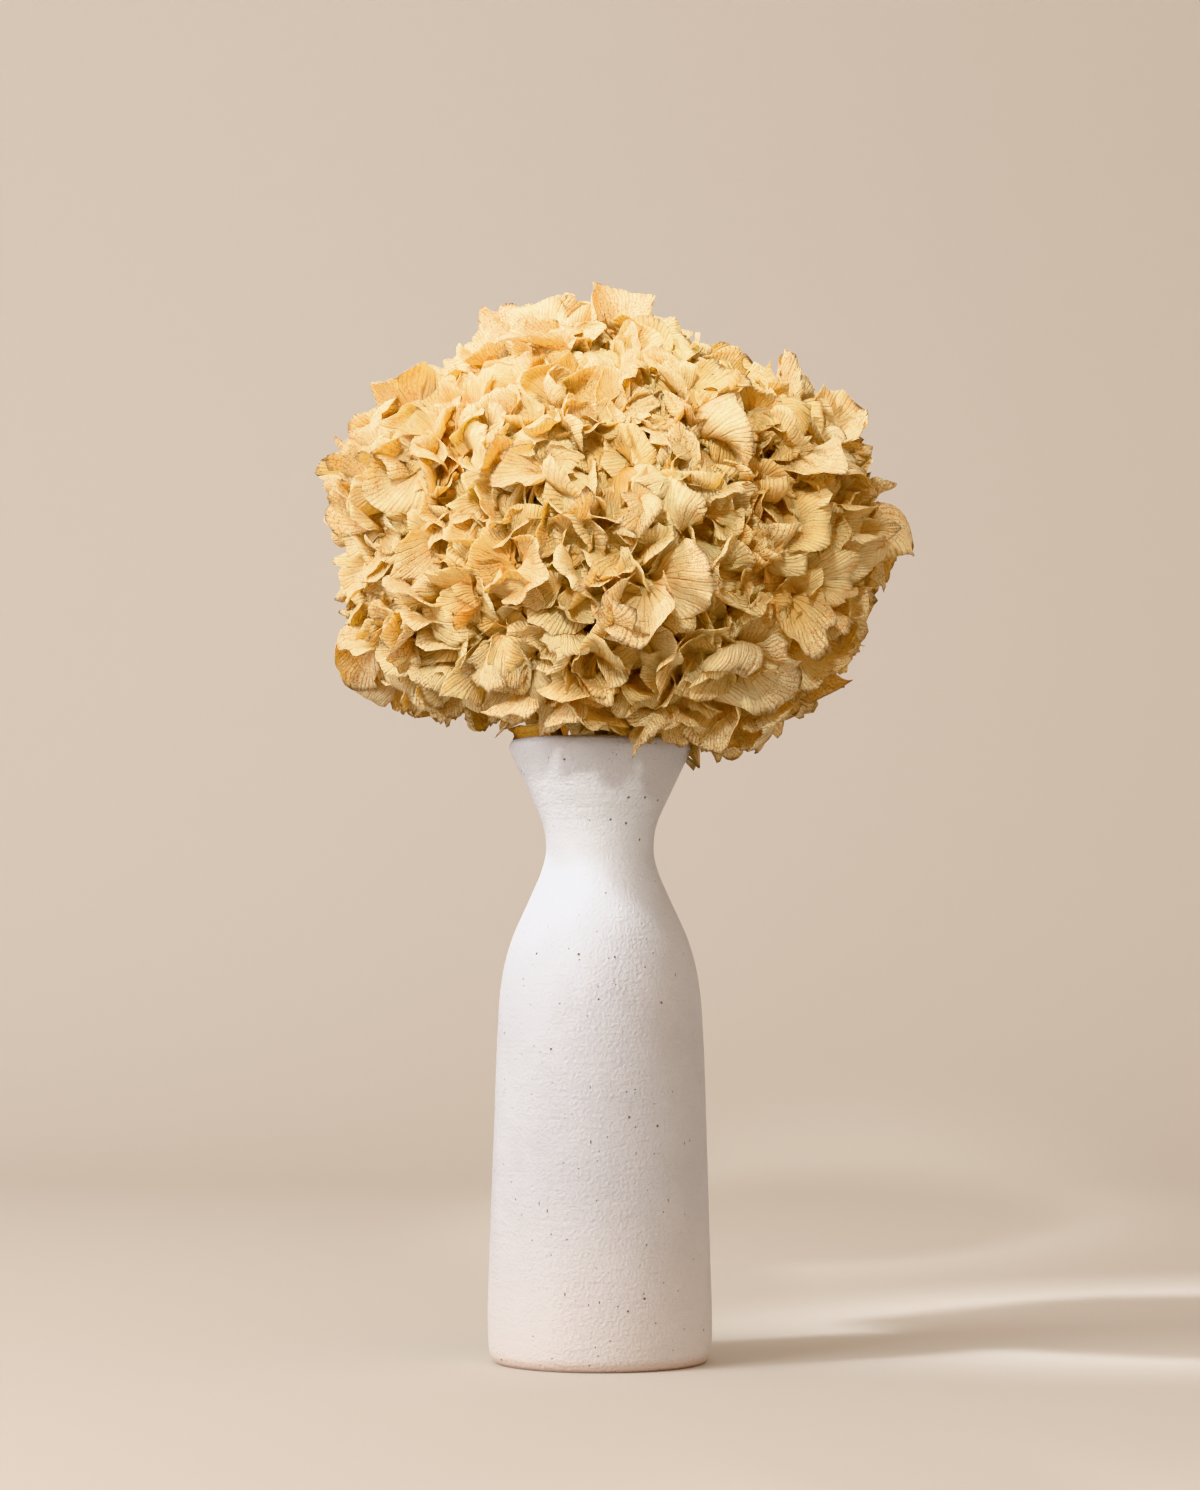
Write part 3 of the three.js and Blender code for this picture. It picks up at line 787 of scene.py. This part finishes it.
def dried_sepal():
    """Dried hydrangea sepal: thin papery tissue, matte, pale cream where it stands out of the head and golden
    brown deep inside it, which is partly sun bleaching and partly a painted shade in the gaps of the mass,
    and paler still on the side towards the key light, a painted light. It has fine veins that fan out from
    the base, brown stipple in patches, and a burnt rim on the driest. Light glows through it."""
    material, tree = new_material("dried hydrangea sepal")
    uv = add_node(tree, "ShaderNodeUVMap", {"uv_map": "sepal"}).outputs[0]
    place = add_node(tree, "ShaderNodeTexCoord").outputs["Object"]
    on_sepal = add_node(tree, "ShaderNodeSeparateXYZ", {}, {0: uv})
    pattern = {"across": on_sepal.outputs["X"], "along": on_sepal.outputs["Y"]}
    for name in ("tone", "petal", "inward", "outlying"):
        pattern[name] = add_node(tree, "ShaderNodeAttribute", {"attribute_name": name}).outputs["Fac"]

    # Clouded patterns. Their scale is in cells to the metre, so that 1000 makes cells of 1 mm, and only the
    # waver's is in cells to the sepal.
    for name, over, scale, detail, roughness in (
        ("blotch", place, 70, 4, 0.6),
        ("stain", place, 230, 5, 0.68),
        ("stained part", place, 45, 3, 0.6),
        ("grain", place, 620, 4, 0.75),
        ("waver", uv, 5, 1, 0.5),
        ("speck", place, 1450, 2, 0.6),
        ("patch", place, 48, 4, 0.65),
        ("burn", place, 150, 3, 0.7),
        ("crinkle", place, 350, 4, 0.65),
        ("fine crinkle", place, 900, 3, 0.6),
    ):
        inputs = {"Vector": over, "Scale": scale, "Detail": detail, "Roughness": roughness}
        pattern[name] = add_node(tree, "ShaderNodeTexNoise", {}, inputs).outputs["Fac"]
    # Freckles are the spots round some of many scattered points, 3 mm apart.
    points = add_node(tree, "ShaderNodeTexVoronoi", {"feature": "F1"}, {"Vector": place, "Scale": 330})
    pick = add_node(tree, "ShaderNodeSeparateXYZ", {}, {0: points.outputs["Color"]})
    pattern["freckle"], pattern["freckle pick"] = points.outputs["Distance"], pick.outputs["X"]

    # Patterns put together: the second, times the number, is added to the last.
    for name, second, factor, last in (
        ("depth", "blotch", 18, "inward"),
        ("depth", "tone", 14, "depth"),
        ("depth", "petal", 5, "depth"),
        ("throat", "blotch", 0.3, "along"),
        ("strand", "waver", 0.025, "across"),
        ("patch", "outlying", 0.09, "patch"),
        ("brink", "outlying", 0.03, "along"),
        ("brink", "burn", 0.34, "brink"),
        ("relief", "fine crinkle", 0.5, "crinkle"),
    ):
        inputs = {0: pattern[second], 1: factor, 2: pattern[last]}
        pattern[name] = add_node(tree, "ShaderNodeMath", {"operation": "MULTIPLY_ADD"}, inputs).outputs[0]

    # Fine straight veins fan out from the base: 10 of them, and 30 thinner ones under a millimetre apart.
    for name, count in (("vein", 10), ("thin vein", 30)):
        inputs = {0: pattern["strand"], 1: math.pi * count}
        wave = add_node(tree, "ShaderNodeMath", {"operation": "MULTIPLY"}, inputs)
        for operation in ("SINE", "ABSOLUTE"):
            wave = add_node(tree, "ShaderNodeMath", {"operation": operation}, {0: wave.outputs[0]})
        pattern[name] = wave.outputs[0]

    # How much of each shows: none where its pattern is at the first level, and all at the second.
    for name, source, none, full in (
        # The shade depth drives a painted shade: golden brown deep in the mass and on the side away from the
        # key light.
        ("deep", "depth", 26, 72),
        ("stain", "stain", 0.42, 0.68),
        ("stained part", "stained part", 0.4, 0.65),
        ("throat", "throat", 0.75, 0.12),
        ("grain", "grain", 0.42, 0.72),
        ("vein", "vein", 0.45, 0),
        ("vein part", "along", -0.3, 0.1),
        ("thin vein", "thin vein", 0.45, 0),
        ("thin vein part", "along", 0.3, 0.7),
        ("veined part", "blotch", 0.3, 0.7),
        ("speck", "speck", 0.5, 0.66),
        ("speckled part", "patch", 0.43, 0.6),
        ("freckle", "freckle", 0.16, 0.06),
        ("freckle pick", "freckle pick", 0.86, 0.98),
        ("rim", "brink", 1.12, 1.25),
        ("dry petal", "petal", 0.6, 0.9),
        ("dry part", "patch", 0.5, 0.62),
    ):
        inputs = {"Value": pattern[source], "From Min": none, "From Max": full}
        pattern[name] = add_node(tree, "ShaderNodeMapRange", {}, inputs).outputs[0]

    # Where two of them show together, or either of them does.
    for name, operation, one, other in (
        ("stain", "MULTIPLY", "stain", "stained part"),
        ("vein", "MULTIPLY", "vein", "vein part"),
        ("thin vein", "MULTIPLY", "thin vein", "thin vein part"),
        ("any vein", "MAXIMUM", "vein", "thin vein"),
        ("dark vein", "MULTIPLY", "any vein", "veined part"),
        ("stipple", "MULTIPLY", "speck", "speckled part"),
        ("freckle", "MULTIPLY", "freckle", "freckle pick"),
        ("dry part", "MULTIPLY", "outlying", "dry part"),
        ("drier", "MAXIMUM", "dry petal", "dry part"),
        ("rim", "MULTIPLY", "rim", "drier"),
    ):
        inputs = {0: pattern[one], 1: pattern[other]}
        pattern[name] = add_node(tree, "ShaderNodeMath", {"operation": operation}, inputs).outputs[0]

    # Pale cream where it stands out of the head and towards the key light, golden and then brown further in
    # and away from it: partly bleaching, and partly painted light and shade.
    stops = ((0, "#FFFCD8"), (1, "#F29A46"), (0.28, "#FFF5C0"), (0.5, "#FFE198"), (0.74, "#FFC270"))
    base = add_node(tree, "ShaderNodeValToRGB", {}, {"Fac": pattern["deep"]}, stops).outputs[0]
    for name, strength, colour in (
        # Gold gathers in watery stains a few millimetres wide and at the narrow base of each sepal.
        ("stain", 0.5, "#FACB7C"),
        ("throat", 0.6, "#F7C25A"),
        # Papery grain, and veins that fade in and out.
        ("grain", 0.38, "#EEC46C"),
        ("dark vein", 0.38, "#D69A54"),
        # Crowded specks half a millimetre wide, in patches and most on the petals that stand out furthest.
        ("stipple", 0.82, "#D09044"),
        # A few darker freckles.
        ("freckle", 0.7, "#94602A"),
        # A burnt rim on the drier sepals, which are some inside and most of those that stand out furthest.
        ("rim", 1, "#9A6226"),
    ):
        inputs = {0: pattern[name], 1: strength}
        mask = add_node(tree, "ShaderNodeMath", {"operation": "MULTIPLY"}, inputs)
        inputs = {"Factor": mask.outputs[0], 6: base, 7: linear(colour)}
        base = add_node(tree, "ShaderNodeMix", {"data_type": "RGBA"}, inputs).outputs[2]

    # The tissue is raised between its veins, and finely crinkled all over.
    inputs = {0: pattern["any vein"], 1: -0.9, 2: pattern["relief"]}
    relief = add_node(tree, "ShaderNodeMath", {"operation": "MULTIPLY_ADD"}, inputs)
    inputs = {"Strength": 0.8, "Distance": 0.55 * MM, "Height": relief.outputs[0]}
    bump = add_node(tree, "ShaderNodeBump", {}, inputs).outputs[0]
    inputs = {"Base Color": base, "Roughness": 0.72, "IOR": 1.42, "Specular IOR Level": 0.3, "Normal": bump}
    skin = add_node(tree, "ShaderNodeBsdfPrincipled", {}, inputs)
    # Light that has come through the tissue is yellower than what it throws back.
    inputs = {"Factor": 1.0, 6: base, 7: linear("#FFE9BA")}
    steeped = add_node(tree, "ShaderNodeMix", {"data_type": "RGBA", "blend_type": "MULTIPLY"}, inputs)
    glow = add_node(tree, "ShaderNodeBsdfTranslucent", {}, {"Color": steeped.outputs[2], "Normal": bump})
    both = add_node(tree, "ShaderNodeMixShader", {}, {0: 0.48, 1: skin.outputs[0], 2: glow.outputs[0]})
    add_node(tree, "ShaderNodeOutputMaterial", {}, {"Surface": both.outputs[0]})
    return material


def dried_stalk(name, light, dark):
    """Dried woody stalk: matte tan-brown bark with fine lengthwise streaks and darker flecks."""
    material, tree = new_material(name)
    place = add_node(tree, "ShaderNodeTexCoord").outputs["Object"]
    # A streak is about 1 mm wide and 17 mm long.
    drawn = add_node(tree, "ShaderNodeMapping", {}, {"Vector": place, "Scale": (900, 900, 60)})
    inputs = {"Vector": drawn.outputs[0], "Scale": 1, "Detail": 4, "Roughness": 0.6}
    streak = add_node(tree, "ShaderNodeTexNoise", {}, inputs).outputs["Fac"]
    stops = ((0.32, dark), (0.68, light))
    base = add_node(tree, "ShaderNodeValToRGB", {}, {"Fac": streak}, stops).outputs[0]
    inputs = {"Strength": 0.6, "Distance": 0.3 * MM, "Height": streak}
    bump = add_node(tree, "ShaderNodeBump", {}, inputs).outputs[0]
    inputs = {"Base Color": base, "Roughness": 0.8, "Specular IOR Level": 0.3, "Normal": bump}
    skin = add_node(tree, "ShaderNodeBsdfPrincipled", {}, inputs)
    add_node(tree, "ShaderNodeOutputMaterial", {}, {"Surface": skin.outputs[0]})
    return material


def matte_slip():
    """Stoneware under a chalky white slip: soft and matte, with pinholes, pricks and nicks, faint brush
    marks, and a slightly rosy bare-clay tone at the foot's edge."""
    material, tree = new_material("matte white slip on stoneware")
    place = add_node(tree, "ShaderNodeTexCoord").outputs["Object"]
    height = add_node(tree, "ShaderNodeSeparateXYZ", {}, {0: place}).outputs["Z"]
    upright = add_node(tree, "ShaderNodeMapping", {}, {"Vector": place, "Scale": (1, 1, 0.3)}).outputs[0]
    level = add_node(tree, "ShaderNodeMapping", {}, {"Vector": place, "Scale": (60, 60, 420)}).outputs[0]

    # Broad clouds, fine level ridges from the brush, fine grain and soft dents, in cells to the metre.
    pattern = {}
    for name, over, scale, detail, roughness in (
        ("cloud", place, 38, 5, 0.6),
        ("brushed", level, 1, 4, 0.6),
        ("grain", place, 760, 3, 0.6),
        ("dent", place, 60, 2, 0.5),
    ):
        inputs = {"Vector": over, "Scale": scale, "Detail": detail, "Roughness": roughness}
        pattern[name] = add_node(tree, "ShaderNodeTexNoise", {}, inputs).outputs["Fac"]

    # Lighter and warmer towards the bottom, fading out 70 mm up: a painted warm light thrown up from below.
    # At the foot's edge the rosy bare clay shows.
    for name, top, bottom, most in (("thin", 70, 0, 0.6), ("foot", 5, 0.5, 1)):
        inputs = {"Value": height, "From Min": top * MM, "From Max": bottom * MM, "To Max": most}
        pattern[name] = add_node(tree, "ShaderNodeMapRange", {}, inputs).outputs[0]

    # Pinholes under a millimetre wide, finer pricks between them, and a few nicks three times as tall as
    # wide: their scale in cells to the metre, the share of cells with none, and their half width in cells.
    pins = 0.0
    for over, scale, left_out, wide in (
        (place, 170, 0.6, 0.09),
        (place, 280, 0.6, 0.085),
        (upright, 310, 0.86, 0.075),
    ):
        point = add_node(tree, "ShaderNodeTexVoronoi", {"feature": "F1"}, {"Vector": over, "Scale": scale})
        inputs = {"Value": point.outputs["Distance"], "From Min": wide, "From Max": 0.6 * wide}
        hole = add_node(tree, "ShaderNodeMapRange", {}, inputs)
        pick = add_node(tree, "ShaderNodeSeparateXYZ", {}, {0: point.outputs["Color"]})
        inputs = {0: pick.outputs["X"], 1: left_out}
        some = add_node(tree, "ShaderNodeMath", {"operation": "GREATER_THAN"}, inputs)
        inputs = {0: hole.outputs[0], 1: some.outputs[0]}
        holes = add_node(tree, "ShaderNodeMath", {"operation": "MULTIPLY"}, inputs)
        inputs = {0: holes.outputs[0], 1: pins}
        pins = add_node(tree, "ShaderNodeMath", {"operation": "MAXIMUM"}, inputs).outputs[0]

    stops = ((0.3, "#C2C1C3"), (0.7, "#CBCBCE"))
    base = add_node(tree, "ShaderNodeValToRGB", {}, {"Fac": pattern["cloud"]}, stops).outputs[0]
    # The first mix is the painted warm light from below, the second the rosy bare clay at the foot's edge.
    for mask, colour in ((pattern["thin"], "#E2D9D2"), (pattern["foot"], "#D6BFB0"), (pins, "#7F6A58")):
        inputs = {"Factor": mask, 6: base, 7: linear(colour)}
        base = add_node(tree, "ShaderNodeMix", {"data_type": "RGBA"}, inputs).outputs[2]
    relief = pattern["brushed"]
    for raised, factor in ((pattern["grain"], 1.5), (pattern["dent"], 0.25), (pins, -1.8)):
        inputs = {0: raised, 1: factor, 2: relief}
        relief = add_node(tree, "ShaderNodeMath", {"operation": "MULTIPLY_ADD"}, inputs).outputs[0]
    inputs = {"Strength": 0.9, "Distance": 0.45 * MM, "Height": relief}
    bump = add_node(tree, "ShaderNodeBump", {}, inputs).outputs[0]
    inputs = {"Base Color": base, "Roughness": 0.62, "IOR": 1.5, "Specular IOR Level": 0.4, "Normal": bump}
    skin = add_node(tree, "ShaderNodeBsdfPrincipled", {}, inputs)
    add_node(tree, "ShaderNodeOutputMaterial", {}, {"Surface": skin.outputs[0]})
    return material


def pale_plaster():
    """The floor: pale, even and matte."""
    material, tree = new_material("pale plaster floor")
    inputs = {"Base Color": linear("#D5D1CA"), "Roughness": 0.9, "Specular IOR Level": 0.2}
    skin = add_node(tree, "ShaderNodeBsdfPrincipled", {}, inputs)
    add_node(tree, "ShaderNodeOutputMaterial", {}, {"Surface": skin.outputs[0]})
    return material


# -------- camera, floor and light

camera_data = bpy.data.cameras.new("portrait camera")
camera_data.lens = 84.0
camera_data.sensor_width = 36
camera = in_scene("portrait camera", camera_data)
camera.location = (0, -1.353, 0.1467)
camera.rotation_euler = (math.radians(90 + 3.87), 0, 0)  # tilted up a little
bpy.context.scene.camera = camera


def make_floor():
    """A floor that sweeps up behind into a plain backdrop, in metres."""
    near, far, side, sweep, top = -2.5, 2.2, 4.0, 1.0, 4.0
    path = [(near, 0.0), (far - sweep, 0.0)]
    steps = 12
    for k in range(1, steps + 1):
        angle = math.pi / 2 * k / steps
        path.append((far - sweep + sweep * math.sin(angle), sweep - sweep * math.cos(angle)))
    path.append((far, top))
    vertices = [Vector((x, y, z)) for y, z in path for x in (-side, side)]
    faces = [(2 * k, 2 * k + 1, 2 * k + 3, 2 * k + 2) for k in range(len(path) - 1)]
    return mesh_object("floor", vertices, faces)


floor = make_floor()
floor.data.materials.append(pale_plaster())


def hang(lamp, place, target, power, colour):
    """Puts a lamp in its place, turned to its target."""
    lamp.energy = power
    lamp.color = colour
    light = in_scene(lamp.name, lamp)
    light.location = place
    light.rotation_euler = (Vector(target) - Vector(place)).to_track_quat("-Z", "Y").to_euler()


def area_light(name, place, target, size, power, colour, spread=180):
    """A softbox. A narrow spread in degrees is a grid on it, which keeps its light on what it is aimed at."""
    lamp = bpy.data.lights.new(name, "AREA")
    lamp.shape = "RECTANGLE"
    lamp.size = lamp.size_y = size
    lamp.spread = math.radians(spread)
    hang(lamp, place, target, power, colour)


def spot_light(name, place, target, beam, radius, power, colour):
    """A round lamp whose beam, in degrees, fades out at its edge and lights only what it is aimed at."""
    lamp = bpy.data.lights.new(name, "SPOT")
    lamp.spot_size = math.radians(beam)
    lamp.spot_blend = 0.45
    lamp.shadow_soft_size = radius
    hang(lamp, place, target, power, colour)


# The key comes from the upper left. The narrow spots reach only the flowers, and the fill is weak and warm.
area_light("key", (-1.5, -1.13, 0.95), (0, 0, 0.2), 1.1, 30, (0.94, 1.0, 1.08))
spot_light("overhead", (-0.75, -0.42, 1.2), (-0.01, -0.01, 0.36), 11.2, 0.1, 139, (0.85, 1.0, 1.14))
spot_light("front", (-0.2, -1.3, 0.84), (0, 0, 0.338), 10.1, 0.09, 106, (0.9, 1.0, 0.97))
area_light("fill", (1.2, -1.3, 0.1), (0, 0, 0.3), 1.0, 0.6, (1.0, 0.9, 0.79), 60)
spot_light("back", (-0.4, 1.3, 0.85), (0, 0, 0.335), 10.5, 0.1, 80, (1.0, 0.98, 0.92))
area_light("backdrop", (-1.9, -0.6, 1.7), (0.6, 2.2, 0.4), 1.5, 9, (0.97, 1.0, 1.02), 120)

# Warm, even light from all round fills the shadows.
world = bpy.data.worlds.new("soft light all round")
world.use_nodes = True
glow = world.node_tree.nodes["Background"].inputs
glow["Color"].default_value = (1.0, 0.8, 0.65, 1)
glow["Strength"].default_value = 0.78
bpy.context.scene.world = world
bpy.context.scene.view_settings.view_transform = "Khronos PBR Neutral"

# -------- making the pieces

sepal_material = dried_sepal()
bark = dried_stalk("dried woody stem", "#9A7243", "#5E3F20")
twig = dried_stalk("dried flower stalk", "#B98B50", "#7E5426")
slip = matte_slip()

sites = floret_sites()
shelf = bpy.data.collections.new("floret kinds")
side_counts = []
for number in range(FINE["kinds"] + PLAIN["kinds"]):
    side_counts.append(floret_kind(number, shelf, FINE if number < FINE["kinds"] else PLAIN))
petals_tree = floret_tree(shelf, sepal_material)
bark_tree = limb_tree(bark)
twig_tree = limb_tree(twig)

chance = random.Random(SEED + 1)
for name, head in HEADS.items():
    outer = head_petals(name, sites, FINE, petals_tree, side_counts)
    inner = head_petals(name, sites, PLAIN, petals_tree, side_counts)
    stem, rays = head_limbs(name, head, sites, chance)
    stalk = limb_piece(f"woody_stem_{name}", stem, bark_tree, STEM_SIDES)
    stalks = limb_piece(f"flower_stalks_{name}", rays, twig_tree, STALK_SIDES)
    for piece, node, slot in (
        (outer, f"head_{name}", "dry_petal"),
        (inner, f"head_{name}", "dry_petal"),
        (stalk, f"stem_{name}", "dry_stem"),
        (stalks, f"stem_{name}", "dry_stem"),
    ):
        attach(piece, "root")
        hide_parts(node)
for kind in list(shelf.objects):
    bpy.data.objects.remove(kind)
bpy.data.collections.remove(shelf)

vase = make_vase()
vase.data.materials.append(slip)
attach(vase, "root")
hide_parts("vase")
